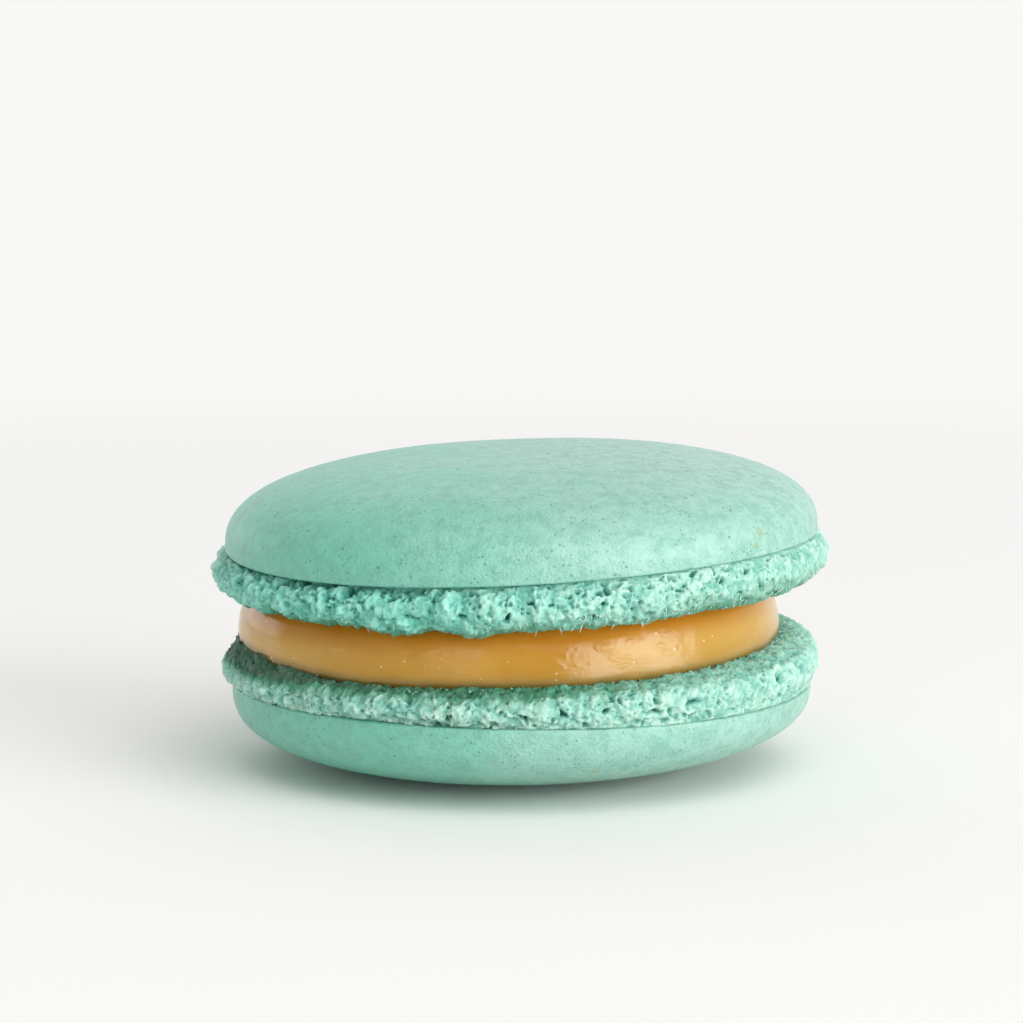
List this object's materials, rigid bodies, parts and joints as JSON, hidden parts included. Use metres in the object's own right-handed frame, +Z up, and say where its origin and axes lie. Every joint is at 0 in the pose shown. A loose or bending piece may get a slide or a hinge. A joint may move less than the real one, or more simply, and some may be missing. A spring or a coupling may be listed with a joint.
{
  "type": "macaron",
  "caption": "Turquoise macaron: smooth domed almond meringue halves with ruffled sponge feet, held together by a slab of glossy caramel filling.",
  "frame": {"origin": "middle of the small flat spot under the lower half, on the table that the macaron rests on", "axes": "+Z up through both halves, -Y towards the picture's camera, +X to its right; the upper half leans slightly up towards +X and +Y"},
  "size_m": [0.0466, 0.0467, 0.0239],
  "materials": {
    "shell": "matte with a faint satin sheen, fine bumps and specks; the feet are crumbly and full of small holes",
    "filling": "glossy, slightly translucent caramel"
  },
  "bodies": {
    "root": {"top_shell": "shell", "filling": "filling", "bottom_shell": "shell"}
  },
  "joints": []
}
